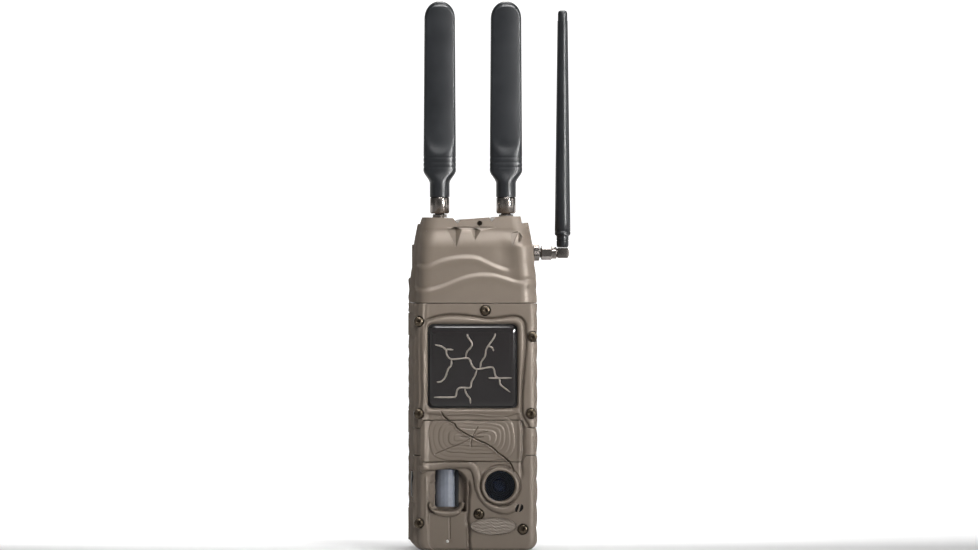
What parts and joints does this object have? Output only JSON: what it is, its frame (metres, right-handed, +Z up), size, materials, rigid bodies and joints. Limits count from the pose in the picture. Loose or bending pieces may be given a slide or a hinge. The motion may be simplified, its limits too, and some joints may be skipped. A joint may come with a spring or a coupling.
{
  "type": "trail camera",
  "caption": "Upright trail camera with an infrared window, lens, motion sensor, paddle and whip antennas, and a hinged rear door.",
  "frame": {"origin": "mouth of the tripod socket, in the middle of the base", "axes": "+Z up towards the antennas, -Y the front with the lens, +X towards the whip antenna"},
  "size_m": [0.0979, 0.0955, 0.335],
  "materials": {
    "casing": "satin taupe moulded casing",
    "window": "glossy dark infrared window",
    "branch": "satin tan-grey raised ribs",
    "dark_screw": "dark bronze",
    "steel": "satin",
    "connector": "gunmetal nickel plate",
    "gold": "plated",
    "antenna": "satin near-black",
    "rubber": "matt",
    "board": "green solder mask",
    "led": "dark clear resin",
    "glass": "coated",
    "black_plastic": "matt black",
    "sensor_lens": "translucent pale blue-grey",
    "badge": "satin taupe",
    "cell": "black printed sleeve",
    "screen": "dark display",
    "light": "clear light pipe",
    "aluminium": "satin"
  },
  "bodies": {
    "housing": {"main_housing": "casing", "top_cap": "casing", "flash_bezel": "casing", "centre_band": "casing", "lens_cover": "casing", "face_screws": "dark_screw", "flash_window": "window", "flash_gasket": "rubber", "window_branches": "branch", "led_board": "board", "led_emitters": "led", "lens_window": "glass", "lens_barrel": "black_plastic", "lens_elements": "glass", "lens_holder": "black_plastic", "sensor_board": "board", "pir_lens": "sensor_lens", "pir_sensor": "steel", "microphone": "aluminium", "badge": "badge", "status_light": "light", "main_board": "board", "modem_board": "board", "antenna_leads": "black_plastic", "left_antenna_socket": "gold", "right_antenna_socket": "gold", "side_antenna_socket": "gold", "socket_nuts": "connector", "control_panel": "black_plastic", "display": "screen", "card_socket": "steel", "battery_cell_1": "cell", "battery_cell_2": "cell", "battery_cell_3": "cell", "battery_cell_4": "cell", "battery_contacts": "steel", "hinge_pin": "steel", "tripod_insert": "gold", "dc_jack": "black_plastic"},
    "door": {"rear_door": "casing", "door_seal": "rubber", "tree_bracket": "black_plastic", "bracket_screws": "dark_screw", "latch_pin": "steel"},
    "latch": {"latch": "black_plastic"},
    "left_coupling": {"left_coupling": "connector"},
    "left_paddle": {"left_paddle": "antenna"},
    "right_coupling": {"right_coupling": "connector"},
    "right_paddle": {"right_paddle": "antenna"},
    "side_nut": {"side_nut": "connector"},
    "whip_arm": {"elbow": "connector", "whip": "antenna"},
    "filter": {"ir_cut_filter": "glass"},
    "card": {"memory_card": "black_plastic"},
    "mode_switch": {"mode_switch": "black_plastic"},
    "jack_cover": {"jack_cover": "rubber"},
    "menu_button": {"menu_button": "rubber"},
    "ok_button": {"ok_button": "rubber"},
    "up_button": {"up_button": "rubber"},
    "down_button": {"down_button": "rubber"}
  },
  "joints": [
    {"name": "door_hinge", "type": "hinge", "parent": "housing", "child": "door", "pos_m": [-0.0356, 0.0368, 0.09], "axis": [0, 0, 1], "range_deg": [0, 110]},
    {"name": "latch_swing", "type": "hinge", "parent": "door", "child": "latch", "pos_m": [0.0359, 0.0396, 0.08], "axis": [0, 0, 1], "range_deg": [0, 95]},
    {"name": "left_coupling_turn", "type": "hinge", "parent": "housing", "child": "left_coupling", "pos_m": [-0.0203, -0.004, 0.21], "axis": [0, 0, 1], "continuous": true},
    {"name": "left_paddle_turn", "type": "hinge", "parent": "housing", "child": "left_paddle", "pos_m": [-0.0203, -0.004, 0.21], "axis": [0, 0, 1], "continuous": true},
    {"name": "right_coupling_turn", "type": "hinge", "parent": "housing", "child": "right_coupling", "pos_m": [0.0203, -0.004, 0.21], "axis": [0, 0, 1], "continuous": true},
    {"name": "right_paddle_turn", "type": "hinge", "parent": "housing", "child": "right_paddle", "pos_m": [0.0203, -0.004, 0.21], "axis": [0, 0, 1], "continuous": true},
    {"name": "side_nut_turn", "type": "hinge", "parent": "housing", "child": "side_nut", "pos_m": [0.045, -0.004, 0.181], "axis": [1, 0, 0], "continuous": true},
    {"name": "whip_swing", "type": "hinge", "parent": "housing", "child": "whip_arm", "pos_m": [0.055, -0.004, 0.181], "axis": [1, 0, 0], "continuous": true},
    {"name": "filter_slide", "type": "slide", "parent": "housing", "child": "filter", "axis": [1, 0, 0], "range_m": [0, 0.0075]},
    {"name": "card_push", "type": "slide", "parent": "housing", "child": "card", "axis": [0, 1, 0], "range_m": [-0.0011, 0.0045]},
    {"name": "mode_slide", "type": "slide", "parent": "housing", "child": "mode_switch", "axis": [1, 0, 0], "range_m": [-0.004, 0.004]},
    {"name": "jack_cover_lift", "type": "hinge", "parent": "housing", "child": "jack_cover", "pos_m": [-0.03725, -0.014, 0.04695], "axis": [0, 1, 0], "range_deg": [0, 90], "stiffness_Nm_per_rad": 0.0005, "springref_deg": -11.46},
    {"name": "menu_press", "type": "slide", "parent": "housing", "child": "menu_button", "axis": [0, -1, 0], "range_m": [0, 0.0008], "stiffness_N_per_m": 400, "springref_m": -0.001},
    {"name": "ok_press", "type": "slide", "parent": "housing", "child": "ok_button", "axis": [0, -1, 0], "range_m": [0, 0.0008], "stiffness_N_per_m": 400, "springref_m": -0.001},
    {"name": "up_press", "type": "slide", "parent": "housing", "child": "up_button", "axis": [0, -1, 0], "range_m": [0, 0.0008], "stiffness_N_per_m": 400, "springref_m": -0.001},
    {"name": "down_press", "type": "slide", "parent": "housing", "child": "down_button", "axis": [0, -1, 0], "range_m": [0, 0.0008], "stiffness_N_per_m": 400, "springref_m": -0.001}
  ]
}
